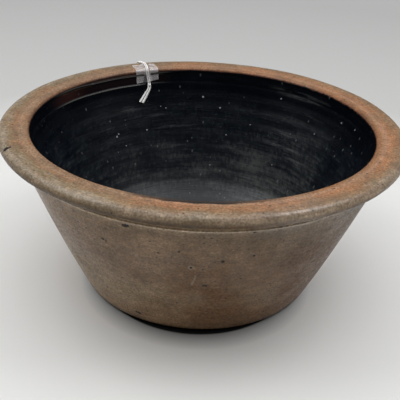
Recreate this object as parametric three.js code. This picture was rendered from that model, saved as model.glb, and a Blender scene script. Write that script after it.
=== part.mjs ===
// A wheel-thrown stoneware bowl with a heavy rolled rim and a dark glaze inside, and a cotton string
// that a strip of clear tape holds over the rim.
// Millimetres, +Z up. The origin is on the surface that the bowl stands on, at the bowl's centre.

import * as THREE from "three";

// Outside of the clay body. The rim hangs over the top of the wall.
const RIM_RADIUS = 138; // outermost, so the bowl is 276 across
const BOWL_HEIGHT = 117.7;
const RIM_WIDTH = 20.5; // from the outermost edge to the inside of the mouth
const RIM_OVERHANG = 13; // from the outermost edge to the top of the wall
const RIM_DEPTH = 14.8; // from the top down to where the rim grows out of the wall
const RIM_FALL = 0.35; // the top slopes down by this much towards the mouth
const ROLL_RADIUS = 4.25; // the rolled outer edge
const MOUTH_ROUND = 2.6; // the rounded edge at the mouth
const RIDGE_RADIUS = 0.9; // the thin turned ridge just below the rim
const BASE_RADIUS = 84.8; // the turned edge at the bottom of the wall
const BASE_ROUND = 1.2;
const BELLY = 1.26; // how far the wall swells out from a straight line

// Foot: a flat ring to stand on, a bevel outside it and a shallow hollow inside it
const FOOT_BEVEL = 5.3;
const FOOT_HEIGHT = 2.8;
const FOOT_RING_WIDTH = 13.5;
const HOLLOW_DEPTH = 1.2;
const HOLLOW_SLOPE = 9; // width of the slope from the ring up into the hollow

// Inside, measured to the glazed surface
const WALL_WIDTH = 9.6; // the wall cut level, so 8.9 through it
const THROAT_DEPTH = 12.1; // the steep stretch under the mouth, down from the top
const BAND_TOP = 5.7; // the upper edge of the turned band in the throat, down from the top
const BAND_HOLLOW = 0.4; // how deep the band is turned
const FLOOR_HEIGHT = 10;
const CORNER_REACH = 32; // how far the curve from wall to floor reaches along each of them
const GLAZE_THICKNESS = 1;
const GLAZE_LINE = THREE.MathUtils.degToRad(146); // where the glaze starts on the mouth's round
const RING_SPACING = 11; // throwing rings: the hollows that the potter's fingers left
const RING_DEPTH = 0.6;

// Clear tape, folded over the rim and slightly askew
const TAPE_WIDTH = 19;
const TAPE_THICKNESS = 0.3;
const TAPE_INSIDE = 8.6; // below the glaze line, at the middle of the tape
const TAPE_OUTSIDE = 2.5; // below the outermost edge, round the roll
const TAPE_TEAR = 1; // the torn end reaches this much lower at the left, and higher at the right
const TAPE_SKEW = THREE.MathUtils.degToRad(15);
const TAPE_SHIFT = 0.4; // the middle of the tape from the string, at the glaze line

// Cotton string, tied into a loop
const STRING_DIAMETER = 1;
const STRING_AZIMUTH = THREE.MathUtils.degToRad(-24.3); // from +Y towards +X
const KNOT_SIZE = [3, 2.6, 2.9];

// Gap between pieces that touch
const CLEARANCE = 0.3;

// Fineness of the faceted solids
const SEGMENTS = 56;
const STRING_SIDES = 8;
const LOOP_STEPS = 80;
const TAIL_STEPS = 8;
const TAPE_ROWS = 22;

// Values that follow from the sizes above
const BED_DEPTH = GLAZE_THICKNESS + CLEARANCE;
const MOUTH_RADIUS = RIM_RADIUS - RIM_WIDTH;
const FOOT_RADIUS = BASE_RADIUS - FOOT_BEVEL;
const BASE = new THREE.Vector2(BASE_RADIUS, FOOT_HEIGHT);
const WALL_TOP = new THREE.Vector2(RIM_RADIUS - RIM_OVERHANG, BOWL_HEIGHT - RIM_DEPTH);
const ROLL_CENTRE = new THREE.Vector2(RIM_RADIUS - ROLL_RADIUS, BOWL_HEIGHT - ROLL_RADIUS);
const MOUTH_CENTRE = new THREE.Vector2(MOUTH_RADIUS + MOUTH_ROUND, BOWL_HEIGHT - RIM_FALL - MOUTH_ROUND);
const WALL_SLOPE = (WALL_TOP.x - BASE.x) / (WALL_TOP.y - BASE.y);

const clay = new THREE.MeshStandardMaterial({ color: 0x6b5d50, roughness: 0.62, metalness: 0 });
const glaze = new THREE.MeshStandardMaterial({ color: 0x1b1917, roughness: 0.22, metalness: 0 });
const film = new THREE.MeshStandardMaterial({
  color: 0xd8d2cc,
  roughness: 0.25,
  metalness: 0,
  transparent: true,
  opacity: 0.35,
});
const cotton = new THREE.MeshStandardMaterial({ color: 0xe6e0d4, roughness: 0.9, metalness: 0 });

// Profiles are lists of (distance from the axis, height).

function arc(centre, radius, from, to, steps) {
  const points = [];
  for (let i = 0; i <= steps; i++) {
    const angle = from + ((to - from) * i) / steps;
    points.push(new THREE.Vector2(Math.cos(angle), Math.sin(angle)).multiplyScalar(radius).add(centre));
  }
  return points;
}

// A rounded corner that starts and ends a given reach away from the corner itself.
function bend(before, corner, after, reach, steps) {
  const start = before.clone().sub(corner).setLength(reach).add(corner);
  const end = after.clone().sub(corner).setLength(reach).add(corner);
  return new THREE.QuadraticBezierCurve(start, corner, end).getPoints(steps);
}

function outerWall(t) {
  const along = WALL_TOP.clone().sub(BASE);
  const outwards = new THREE.Vector2(along.y, -along.x).normalize();
  return BASE.clone().addScaledVector(along, t).addScaledVector(outwards, 4 * t * (1 - t) * BELLY);
}

function footProfile() {
  const ringInside = FOOT_RADIUS - FOOT_RING_WIDTH;
  const ringOutside = new THREE.Vector2(FOOT_RADIUS, 0);
  return [
    new THREE.Vector2(0, HOLLOW_DEPTH),
    new THREE.Vector2(ringInside - HOLLOW_SLOPE, HOLLOW_DEPTH),
    new THREE.Vector2(ringInside, 0),
    ringOutside,
    ...bend(ringOutside, BASE, outerWall(0.2), BASE_ROUND, 3),
  ];
}

function wallProfile() {
  const ridgeCentre = outerWall(1).sub(new THREE.Vector2(RIDGE_RADIUS / 2, 1.5 * RIDGE_RADIUS));
  const points = [0.18, 0.36, 0.54, 0.72, 0.88].map(outerWall);
  return [...points, ...arc(ridgeCentre, RIDGE_RADIUS, -Math.PI / 2, Math.PI / 3, 4), WALL_TOP.clone()];
}

// The rim's underside runs straight from the top of the wall onto the roll, which it just touches.
function rimProfile() {
  const toRoll = ROLL_CENTRE.clone().sub(WALL_TOP);
  const underside = toRoll.angle() - Math.asin(ROLL_RADIUS / toRoll.length());
  const clayEnd = GLAZE_LINE - CLEARANCE / MOUTH_ROUND;
  return [
    ...arc(ROLL_CENTRE, ROLL_RADIUS, underside - Math.PI / 2, Math.PI / 2, 8),
    ...arc(MOUTH_CENTRE, MOUTH_ROUND, Math.PI / 2, clayEnd, 3),
    ...arc(MOUTH_CENTRE, MOUTH_ROUND - BED_DEPTH, clayEnd, Math.PI, 2),
  ];
}

// The glazed surface from the bottom of the throat to the middle of the floor. The wall is straight
// and parallel to the outside, and one wide curve joins it to the floor.
const throatHeight = BOWL_HEIGHT - THROAT_DEPTH;
const throatRadius = WALL_TOP.x + (throatHeight - WALL_TOP.y) * WALL_SLOPE - WALL_WIDTH;
const throatEnd = new THREE.Vector2(throatRadius, throatHeight);
const cornerRadius = throatRadius - (throatHeight - FLOOR_HEIGHT) * WALL_SLOPE;
const corner = new THREE.Vector2(cornerRadius, FLOOR_HEIGHT);
const wallEnd = throatEnd.clone().sub(corner).setLength(CORNER_REACH).add(corner);
const floorEdge = new THREE.Vector2(cornerRadius - CORNER_REACH, FLOOR_HEIGHT);
const glazedWall = new THREE.Path();
glazedWall.moveTo(throatEnd.x, throatEnd.y);
glazedWall.lineTo(wallEnd.x, wallEnd.y);
glazedWall.quadraticCurveTo(corner.x, corner.y, floorEdge.x, floorEdge.y);

// A point a given length along a path, moved square to it by an offset. On the glazed wall a
// positive offset goes into the clay, and on the path over the rim it goes out of it.
function beside(path, length, offset) {
  const t = THREE.MathUtils.clamp(length / path.getLength(), 0, 1);
  const tangent = path.getTangent(t);
  return path.getPoint(t).addScaledVector(new THREE.Vector2(-tangent.y, tangent.x), offset);
}

// The plain surface under the glaze, at some depth below the glazed one.
function underGlaze(depth) {
  const wallLength = throatEnd.distanceTo(wallEnd);
  const curveLength = glazedWall.getLength() - wallLength;
  const lengths = [0, wallLength];
  for (let i = 1; i <= 5; i++) lengths.push(wallLength + (curveLength * i) / 5);
  const points = lengths.map((length) => beside(glazedWall, length, depth));
  points.push(new THREE.Vector2(0, FLOOR_HEIGHT - depth));
  return points;
}

// The turned band in the throat, a shallow hollow between two edges that run round the mouth.
function turnedBand() {
  const throatTop = new THREE.Vector2(MOUTH_RADIUS, MOUTH_CENTRE.y);
  const topShare = (throatTop.y - (BOWL_HEIGHT - BAND_TOP)) / (throatTop.y - throatEnd.y);
  const bandTop = throatTop.clone().lerp(throatEnd, topShare);
  const hollow = new THREE.Vector2(BAND_HOLLOW, 0);
  return [
    bandTop,
    bandTop.clone().lerp(throatEnd, 0.2).add(hollow),
    bandTop.clone().lerp(throatEnd, 0.8).add(hollow),
    throatEnd.clone(),
  ];
}

// The glazed wall with its throwing rings. Each ring is a hollow between two narrow crests.
function ringedWall() {
  const rings = Math.floor(glazedWall.getLength() / RING_SPACING) - 1;
  const start = (glazedWall.getLength() - rings * RING_SPACING) / 2;
  const points = [];
  for (let i = 0; i <= 3 * rings; i++) {
    const hollow = i % 3 === 0 ? 0 : RING_DEPTH;
    points.push(beside(glazedWall, start + (i * RING_SPACING) / 3, hollow));
  }
  points.push(floorEdge.clone(), new THREE.Vector2(0, FLOOR_HEIGHT));
  return points;
}

// A profile turned round the bowl's axis.
function turned(profile) {
  return new THREE.LatheGeometry(profile, SEGMENTS).rotateX(Math.PI / 2);
}

function makeBody() {
  return turned([...footProfile(), ...wallProfile(), ...rimProfile(), ...underGlaze(BED_DEPTH)]);
}

function makeGlaze() {
  const back = underGlaze(GLAZE_THICKNESS).reverse();
  const backOfMouth = arc(MOUTH_CENTRE, MOUTH_ROUND - GLAZE_THICKNESS, Math.PI, GLAZE_LINE, 2);
  const face = arc(MOUTH_CENTRE, MOUTH_ROUND, GLAZE_LINE, Math.PI, 2);
  return turned([...back, ...backOfMouth, ...face, ...turnedBand(), ...ringedWall()]);
}

// The string and the tape are placed in a frame of their own: across the string, out from the
// bowl's axis, and up. The string's points are chosen by hand and given as
// [across, out from the outermost edge, up from the top].
const LOOP_ROUTE = [
  [0.1, -23.3, -11.2],
  [-0.5, -21.75, -6.2],
  [-0.75, -21.5, -3.4],
  [-0.7, -20.75, -0.9],
  [-0.3, -18.6, 0.55],
  [0.5, -12.5, 0.95],
  [0.55, -9.2, 1.1],
  [-1.7, -3.6, 0.95],
  [-2.2, -0.9, -0.3],
  [-2.3, 0.85, -3],
  [-2.4, 0.9, -5.8],
  [-2.6, -0.1, -10],
  [-3.8, -0.3, -22],
  [-6.2, -0.1, -40],
  [-6.9, 0, -49.5],
  [-6.3, 0, -54],
  [-4.4, 0, -57.1],
  [-1.8, 0, -57.5],
  [0.4, 0, -55],
  [1.5, 0, -50.5],
  [1.7, -0.1, -38],
  [0, -0.3, -20],
  [-1, -0.1, -10],
  [-1.1, 0.9, -5.8],
  [-1, 0.85, -3],
  [-0.85, -0.9, -0.3],
  [-0.3, -3.6, 0.95],
  [1.9, -9.2, 1.1],
  [1.85, -12.5, 0.95],
  [0.95, -18.6, 0.55],
  [0.6, -20.75, -0.9],
  [0.55, -21.5, -3.4],
  [0.8, -21.75, -6.2],
  [1.4, -23.3, -11.2],
];
const KNOT_PLACE = [0.7, -24.05, -13.2];
const LEFT_TAIL_ROUTE = [
  [-0.5, -24.75, -15],
  [-3.4, -25.7, -19.2],
  [-8.9, -28.3, -25.3],
];
const RIGHT_TAIL_ROUTE = [
  [0.9, -25, -15.3],
  [-1.9, -26.1, -20.2],
  [-6.6, -28.5, -26.1],
];

function besideBowl([across, out, up]) {
  return new THREE.Vector3(across, RIM_RADIUS + out, BOWL_HEIGHT + up);
}

function stringCurve(route) {
  return new THREE.CatmullRomCurve3(route.map(besideBowl));
}

function makeString(route, steps) {
  const section = new THREE.Shape(
    arc(new THREE.Vector2(), STRING_DIAMETER / 2, 0, 2 * Math.PI, STRING_SIDES).slice(1),
  );
  return new THREE.ExtrudeGeometry(section, { steps, extrudePath: stringCurve(route), bevelEnabled: false });
}

// The two strands of the loop where they cross the rim, from the mouth outwards.
const loopPoints = stringCurve(LOOP_ROUTE).getSpacedPoints(400);
const strands = [loopPoints.slice(0, 201), loopPoints.slice(200)];

// Where a strand passes a point of the rim's profile: its place across, and its height above it.
function strandOver(strand, point, outwards) {
  const fromPoint = (p) => new THREE.Vector2(p.y, p.z).sub(point);
  const beyond = (p) => Math.abs(fromPoint(p).cross(outwards));
  const nearest = strand
    .filter((p) => fromPoint(p).dot(outwards) > 0 && fromPoint(p).length() < 10)
    .reduce((best, p) => (beyond(p) < beyond(best) ? p : best), strand[0]);
  return { across: nearest.x, height: fromPoint(nearest).dot(outwards) };
}

// The bowl's surface from the wall inside, over the rim and round the roll.
const overRim = new THREE.Path();
overRim.moveTo(throatEnd.x - CORNER_REACH * WALL_SLOPE, throatEnd.y - CORNER_REACH);
overRim.lineTo(throatEnd.x, throatEnd.y);
overRim.lineTo(MOUTH_RADIUS, MOUTH_CENTRE.y);
overRim.absarc(MOUTH_CENTRE.x, MOUTH_CENTRE.y, MOUTH_ROUND, Math.PI, Math.PI / 2, true);
overRim.lineTo(ROLL_CENTRE.x, BOWL_HEIGHT);
overRim.absarc(ROLL_CENTRE.x, ROLL_CENTRE.y, ROLL_RADIUS, Math.PI / 2, -Math.PI / 3, true);

const toMouthRound = overRim.getCurveLengths()[1];
const toRoll = overRim.getCurveLengths()[3];
const glazeLineAt = toMouthRound + (Math.PI - GLAZE_LINE) * MOUTH_ROUND;
const tapeStart = glazeLineAt - TAPE_INSIDE;
const tapeEnd = toRoll + (ROLL_RADIUS * Math.PI) / 2 + TAPE_OUTSIDE;

// One row of the tape: where it crosses the rim, and its columns as [place across, height].
// The film lies on the bowl at its edges and stands over the two strands between them.
function tapeRow(i) {
  const length = THREE.MathUtils.lerp(tapeStart, tapeEnd, i / TAPE_ROWS);
  const point = beside(overRim, length, 0);
  const outwards = beside(overRim, length, 1).sub(point);
  const middle = TAPE_SHIFT + Math.tan(TAPE_SKEW) * (length - glazeLineAt);
  const over = strands.map((strand) => strandOver(strand, point, outwards));
  const reach = STRING_DIAMETER / 2 + CLEARANCE;
  const height = Math.max(...over.map((strand) => strand.height)) + reach;
  const left = middle - TAPE_WIDTH / 2;
  const right = middle + TAPE_WIDTH / 2;
  const tentLeft = Math.min(...over.map((strand) => strand.across)) - reach;
  const tentRight = Math.max(...over.map((strand) => strand.across)) + reach;
  const foot = (height - CLEARANCE) * 0.2 + CLEARANCE;
  const columns = [
    [left, CLEARANCE],
    [THREE.MathUtils.lerp(left, tentLeft, 0.5), foot],
    [tentLeft, height],
    [tentRight, height],
    [THREE.MathUtils.lerp(tentRight, right, 0.25), foot],
    [THREE.MathUtils.lerp(tentRight, right, 0.6), CLEARANCE],
    [right, CLEARANCE],
  ];
  const tear = (across) => (i === 0 ? (TAPE_TEAR * (across - middle)) / (TAPE_WIDTH / 2) : 0);
  return { length, columns, tear };
}

// One skin of the tape, as rows of points.
function tapeSkin(rise) {
  const rows = [];
  for (let i = 0; i <= TAPE_ROWS; i++) {
    const { length, columns, tear } = tapeRow(i);
    const row = columns.map(([across, height]) => {
      const p = beside(overRim, length + tear(across), height + rise);
      return new THREE.Vector3(p.x * Math.sin(across / p.x), p.x * Math.cos(across / p.x), p.y);
    });
    rows.push(row);
  }
  return rows;
}

function makeTape() {
  const under = tapeSkin(0);
  const over = tapeSkin(TAPE_THICKNESS);
  const positions = [];
  const quad = (a, b, c, d) => {
    for (const p of [a, b, c, a, c, d]) positions.push(p.x, p.y, p.z);
  };
  const rows = under.length - 1;
  const columns = under[0].length - 1;
  for (let i = 0; i < rows; i++) {
    for (let j = 0; j < columns; j++) {
      quad(over[i][j], over[i][j + 1], over[i + 1][j + 1], over[i + 1][j]);
      quad(under[i][j], under[i + 1][j], under[i + 1][j + 1], under[i][j + 1]);
    }
    quad(under[i][0], over[i][0], over[i + 1][0], under[i + 1][0]);
    quad(over[i][columns], under[i][columns], under[i + 1][columns], over[i + 1][columns]);
  }
  for (let j = 0; j < columns; j++) {
    quad(over[0][j], under[0][j], under[0][j + 1], over[0][j + 1]);
    quad(under[rows][j], over[rows][j], over[rows][j + 1], under[rows][j + 1]);
  }
  const geometry = new THREE.BufferGeometry();
  geometry.setAttribute("position", new THREE.Float32BufferAttribute(positions, 3));
  geometry.computeVertexNormals();
  return geometry;
}

function makeKnot() {
  return new THREE.SphereGeometry(0.5, 12, 8).scale(...KNOT_SIZE);
}

function named(name, geometry, material) {
  const mesh = new THREE.Mesh(geometry, material);
  mesh.name = name;
  return mesh;
}

const bowl = new THREE.Group();
bowl.add(named("stoneware_body", makeBody(), clay));
bowl.add(named("interior_glaze", makeGlaze(), glaze));

// Across is +X in the tag string's own frame, and out is +Y.
const tagString = new THREE.Group();
tagString.rotation.z = -STRING_AZIMUTH;
tagString.add(named("clear_tape", makeTape(), film));
tagString.add(named("tag_string_loop", makeString(LOOP_ROUTE, LOOP_STEPS), cotton));
tagString.add(named("tag_string_tail_left", makeString(LEFT_TAIL_ROUTE, TAIL_STEPS), cotton));
tagString.add(named("tag_string_tail_right", makeString(RIGHT_TAIL_ROUTE, TAIL_STEPS), cotton));
const knot = named("tag_string_knot", makeKnot(), cotton);
knot.position.copy(besideBowl(KNOT_PLACE));
tagString.add(knot);
bowl.add(tagString);

export default bowl;
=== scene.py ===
# %% [markdown]
# # A thrown stoneware bowl with a taped-on tag string
#
# This lesson dresses a wheel-thrown stoneware bowl: bare salt-glazed clay outside, a near-black
# glaze inside, and a cotton string held over the rim by clear tape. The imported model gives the
# bowl's radius and height, and every new piece is fitted to them. Lengths are in metres, and MM
# turns millimetres into metres.

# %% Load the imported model
import math

import bmesh
import bpy
from mathutils import Matrix, Vector, noise
from mathutils.geometry import interpolate_bezier


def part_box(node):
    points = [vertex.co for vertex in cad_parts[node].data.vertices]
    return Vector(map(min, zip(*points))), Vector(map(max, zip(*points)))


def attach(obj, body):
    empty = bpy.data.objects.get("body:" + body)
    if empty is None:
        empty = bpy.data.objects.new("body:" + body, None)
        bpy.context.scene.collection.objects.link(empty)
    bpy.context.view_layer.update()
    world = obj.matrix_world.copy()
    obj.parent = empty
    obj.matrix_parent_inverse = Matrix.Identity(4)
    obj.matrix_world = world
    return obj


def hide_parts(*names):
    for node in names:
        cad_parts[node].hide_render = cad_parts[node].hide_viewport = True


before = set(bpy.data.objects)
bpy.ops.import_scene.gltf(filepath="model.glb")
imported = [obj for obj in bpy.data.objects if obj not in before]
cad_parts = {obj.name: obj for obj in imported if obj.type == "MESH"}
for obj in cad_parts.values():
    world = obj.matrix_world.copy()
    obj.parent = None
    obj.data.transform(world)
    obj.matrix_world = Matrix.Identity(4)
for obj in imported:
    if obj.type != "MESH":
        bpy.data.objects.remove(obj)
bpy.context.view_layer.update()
MM = 0.001
body_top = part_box("stoneware_body")[1]
RIM_RADIUS = body_top[0]
BOWL_HEIGHT = body_top[2]
print("rim radius", round(RIM_RADIUS, 4), "height", round(BOWL_HEIGHT, 4))

# %% [markdown]
# ## The camera
#
# The bowl was photographed from a little above the rim. Matching the ellipses of the rim and the
# foot gives the camera's height, distance and lens, and a small roll. A camera is turned about
# its own axis by multiplying the roll in last, so the pitch is not disturbed. The view transform
# is Standard, which shows a colour as it was written.

# %% Place the camera
VIEW_ELEVATION = math.radians(27.978)
VIEW_ROLL = math.radians(2.685)
VIEW_DISTANCE = 0.5119
VIEW_AIM = Vector((0.00017, 0.0, 0.0545))
LENS = 63.0
SENSOR = 36.0
NEAREST = 0.01


def make_camera():
    data = bpy.data.cameras.new("photo_camera")
    data.lens = LENS
    data.sensor_width = SENSOR
    data.clip_start = NEAREST
    camera = bpy.data.objects.new("photo_camera", data)
    bpy.context.collection.objects.link(camera)
    turn = Matrix.Rotation(math.pi / 2 - VIEW_ELEVATION, 4, "X") @ Matrix.Rotation(VIEW_ROLL, 4, "Z")
    back = Vector((0.0, -math.cos(VIEW_ELEVATION), math.sin(VIEW_ELEVATION)))
    camera.matrix_world = Matrix.Translation(VIEW_AIM + VIEW_DISTANCE * back) @ turn
    bpy.context.scene.camera = camera
    return camera


camera = make_camera()
bpy.context.scene.view_settings.view_transform = "Standard"
print("camera height", round(camera.matrix_world.translation.z, 4))

# %% [markdown]
# ## Colours and materials
#
# A colour given in hex is an sRGB value, and a shader wants linear light, so one function turns
# hex values into linear ones. Another adds a node with its settings, links and ramp, so each
# material below reads as a short recipe: a node named as an input stands for what it gives out.

# %% Helpers for materials


def colour(hex_value):
    """The linear colour, with full alpha, of an sRGB hex value."""
    channels = [int(hex_value[i : i + 2], 16) / 255 for i in (0, 2, 4)]
    linear = [c / 12.92 if c <= 0.04045 else ((c + 0.055) / 1.055) ** 2.4 for c in channels]
    return (*linear, 1.0)


def feed(tree, node, inputs):
    """Fill a node's inputs: a plain value is set, and a node or one of its outputs is linked."""
    for name, value in inputs.items():
        if isinstance(value, bpy.types.Node):
            value = next(output for output in value.outputs if output.enabled)
        if isinstance(value, bpy.types.NodeSocket):
            tree.links.new(value, node.inputs[name])
        else:
            node.inputs[name].default_value = value


def add(tree, kind, inputs=None, stops=None, **settings):
    """Add one node with its settings, its inputs and, for a ramp, its stops."""
    made = tree.nodes.new("ShaderNode" + kind)
    for name, value in settings.items():
        setattr(made, name, value)
    feed(tree, made, inputs or {})
    if stops:
        ramp = made.color_ramp.elements
        for stop, (place, hex_value) in ((ramp[0], stops[0]), (ramp[1], stops[-1])):
            stop.position = place
            stop.color = colour(hex_value)
        for place, hex_value in stops[1:-1]:
            ramp.new(place).color = colour(hex_value)
    return made


def new_material(name):
    made = bpy.data.materials.new(name)
    made.use_nodes = True
    return made, made.node_tree, made.node_tree.nodes["Principled BSDF"]


def grain(size):
    """The scale that gives a noise or cell texture grains of this size in metres."""
    return 1.0 / size


# %% [markdown]
# ## Profiles
#
# The bowl is a turned form, so it is a profile spun round the Z axis. A profile is a short list
# of points (distance from the axis, height) with arcs for the round parts. It is cut up finely,
# so that later steps can move the points a little, as a potter's hands and the kiln did.

# %% Helpers for profiles


def arc(centre, radius, start, end, steps):
    points = []
    for i in range(steps + 1):
        angle = start + (end - start) * i / steps
        points.append(Vector((centre[0] + radius * math.cos(angle), centre[1] + radius * math.sin(angle))))
    return points


def lengths_along(points):
    total = [0.0]
    for a, b in zip(points, points[1:]):
        total.append(total[-1] + (b - a).length)
    return total


def point_at(points, lengths, length):
    """The point this far along a profile, and the direction out of it, square to the profile."""
    i = max(j for j in range(len(lengths) - 1) if lengths[j] <= length or j == 0)
    step = points[i + 1] - points[i]
    share = (length - lengths[i]) / max(step.length, 1e-9)
    place = points[i] + step * min(max(share, 0.0), 1.0)
    return place, Vector((step.y, -step.x)).normalized()


def smooth(edge, limit, value):
    share = min(max((value - edge) / (limit - edge), 0.0), 1.0)
    return share * share * (3 - 2 * share)


# %% [markdown]
# Spinning a wire of points gives a closed skin without any list of faces. The points on the axis
# and the two ends of the full turn are merged, and then the normals are made to point outwards.

# %% Helpers for meshes


def new_object(name, mesh_or_bm, material):
    if isinstance(mesh_or_bm, bmesh.types.BMesh):
        mesh = bpy.data.meshes.new(name)
        mesh_or_bm.to_mesh(mesh)
        mesh_or_bm.free()
    else:
        mesh = mesh_or_bm
        mesh.name = name
    mesh.materials.clear()
    mesh.materials.append(material)
    mesh.shade_smooth()
    made = bpy.data.objects.new(name, mesh)
    bpy.context.collection.objects.link(made)
    return made


def spun(rows, steps):
    """Spin a profile, given as (point, {attribute: value}) rows, into a closed skin round Z."""
    bm = bmesh.new()
    layers = {name: bm.verts.layers.float.new(name) for name in rows[0][1]}
    wire = []
    for point, values in rows:
        vert = bm.verts.new((point.x, 0.0, point.y))
        for name, value in values.items():
            vert[layers[name]] = value
        wire.append(vert)
    edges = [bm.edges.new(pair) for pair in zip(wire, wire[1:])]
    bmesh.ops.spin(
        bm,
        geom=wire + edges,
        cent=(0, 0, 0),
        axis=(0, 0, 1),
        angle=2 * math.pi,
        steps=steps,
        use_merge=True,
    )
    bmesh.ops.remove_doubles(bm, verts=bm.verts, dist=1e-6)
    bmesh.ops.recalc_face_normals(bm, faces=bm.faces)
    return bm


# %% [markdown]
# ## The cotton string
#
# A tag string is a loop of thin cotton. Its two strands run up inside the mouth, over the rim
# under the tape, and hang down outside in a long narrow loop. Its ends are knotted just inside.
# The route is listed point by point, because a cord's shape is a matter of gravity and touch. Each
# point is given across the string, out from the rim's edge, and up from the rim's top.

# %% The string's route
STRING_DIAMETER = 1.0 * MM
STRING_AZIMUTH = math.radians(-24.3)
TAIL_LEFT = [
    (-0.0089, -0.0283, -0.0253), (-0.0034, -0.0257, -0.0192), (-0.0005, -0.02475, -0.015),
]
LOOP = [
    (0.0001, -0.0233, -0.0112), (-0.0005, -0.02175, -0.0062), (-0.00075, -0.0215, -0.0034),
    (-0.0007, -0.02075, -0.0009), (-0.0003, -0.0186, 0.00055), (0.0005, -0.0125, 0.00095),
    (0.00055, -0.0092, 0.0011), (-0.0017, -0.0036, 0.00095), (-0.0022, -0.0009, -0.0003),
    (-0.0023, 0.00085, -0.003), (-0.0024, 0.0009, -0.0058), (-0.0026, -0.0001, -0.01),
    (-0.0038, -0.0003, -0.022), (-0.0062, -0.0001, -0.04), (-0.0069, 0, -0.0495),
    (-0.0063, 0, -0.054), (-0.0044, 0, -0.0571), (-0.0018, 0, -0.0575), (0.0004, 0, -0.055),
    (0.0015, 0, -0.0505), (0.0017, -0.0001, -0.038), (0, -0.0003, -0.02), (-0.001, -0.0001, -0.01),
    (-0.0011, 0.0009, -0.0058), (-0.001, 0.00085, -0.003), (-0.00085, -0.0009, -0.0003),
    (-0.0003, -0.0036, 0.00095), (0.0019, -0.0092, 0.0011), (0.00185, -0.0125, 0.00095),
    (0.00095, -0.0186, 0.00055), (0.0006, -0.02075, -0.0009), (0.00055, -0.0215, -0.0034),
    (0.0008, -0.02175, -0.0062), (0.0014, -0.0233, -0.0112),
]
TAIL_RIGHT = [
    (0.0009, -0.025, -0.0153), (-0.0019, -0.0261, -0.0202), (-0.0066, -0.0285, -0.0261),
]
KNOT_PLACE = (0.0007, -0.02405, -0.0132)

beside_bowl = Matrix.Rotation(-STRING_AZIMUTH, 4, "Z") @ Matrix.Translation((0, RIM_RADIUS, BOWL_HEIGHT))
string_route = [beside_bowl @ Vector(point) for point in TAIL_LEFT + LOOP + TAIL_RIGHT]
print("route points", len(string_route))

# %% [markdown]
# Cotton twine is plies twisted together. The section here has three soft lobes, and tilting the
# curve as it goes turns them into a lay, one full turn in a few millimetres. The cut ends are
# loosened, so they are thicker.

# %% The twine's section and centreline
PLIES = 3
LAY_LENGTH = 3.2 * MM
LOBE_DEPTH = 0.07
RINGS_PER_PIECE = 24
LOOSENED = {0: 2.0, 1: 1.75, 2: 1.35}


def lobed_section():
    """The twine's section: a ring whose radius rises at each ply."""
    data = bpy.data.curves.new("twine_section", "CURVE")
    spline = data.splines.new("POLY")
    sides = 6 * PLIES
    spline.points.add(sides - 1)
    for i, point in enumerate(spline.points):
        angle = 2 * math.pi * i / sides
        radius = STRING_DIAMETER / 2 * (1 - LOBE_DEPTH + LOBE_DEPTH * math.cos(PLIES * angle))
        point.co = (radius * math.cos(angle), radius * math.sin(angle), 0, 1)
    spline.use_cyclic_u = True
    section = bpy.data.objects.new("twine_section", data)
    return section


def centreline(spline):
    line = []
    points = spline.bezier_points
    for a, b in zip(points, points[1:]):
        line += interpolate_bezier(a.co, a.handle_right, b.handle_left, b.co, RINGS_PER_PIECE + 1)[:-1]
    return line + [points[-1].co.copy()]


# %% [markdown]
# A curve is turned into a mesh, and its centreline is kept as the path that the cord follows.
# Bleached cotton is matt and near white, and its loose fibres catch light at the edges, which
# the sheen gives.

# %% Make the string


def make_twine(name, route, material):
    """A twisted string along a smooth curve through the route, and its centreline."""
    data = bpy.data.curves.new(name, "CURVE")
    data.dimensions = "3D"
    data.resolution_u = RINGS_PER_PIECE
    data.twist_mode = "MINIMUM"
    data.use_fill_caps = True
    spline = data.splines.new("BEZIER")
    spline.bezier_points.add(len(route) - 1)
    last = len(route) - 1
    for i, (point, place) in enumerate(zip(spline.bezier_points, route)):
        point.co = place
        point.handle_left_type = point.handle_right_type = "AUTO"
        point.radius = LOOSENED.get(min(i, last - i), 1.0)
    curve = bpy.data.objects.new(name, data)
    bpy.context.collection.objects.link(curve)
    bpy.context.view_layer.update()
    line = centreline(spline)
    along = lengths_along(line)
    for i, point in enumerate(spline.bezier_points):
        point.tilt = 2 * math.pi * along[i * RINGS_PER_PIECE] / LAY_LENGTH
    section = lobed_section()
    data.bevel_mode = "OBJECT"
    data.bevel_object = section
    bpy.context.view_layer.update()
    mesh = bpy.data.meshes.new_from_object(curve.evaluated_get(bpy.context.evaluated_depsgraph_get()))
    bpy.data.objects.remove(curve)
    bpy.data.objects.remove(section)
    made = new_object(name, mesh, material)
    print(name, "length", round(along[-1], 4), "triangles about", 2 * len(mesh.polygons))
    return made, line, along[-1]


cotton, tree, surface = new_material("bleached_cotton_twine")
feed(tree, surface, {"Base Color": colour("fdfcf9"), "Roughness": 0.85, "Sheen Weight": 1.0})

tag_string, string_line, string_length = make_twine("tag_string", string_route, cotton)
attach(tag_string, "root")
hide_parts("tag_string_loop", "tag_string_tail_left", "tag_string_tail_right")

# %% [markdown]
# ## The knot
#
# The knot is a turn and a half of the same twine round both strands. A small ring spun with a
# step along the axis gives the wraps, and the coil then leans as the strands do.

# %% Make the knot
KNOT_RADIUS = 1.05 * MM
KNOT_TURNS = 1.6
KNOT_LENGTH = 1.7 * MM
KNOT_SIDES = 12
KNOT_STEPS = 48
KNOT_LEAN = (math.radians(24), math.radians(-28))


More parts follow.
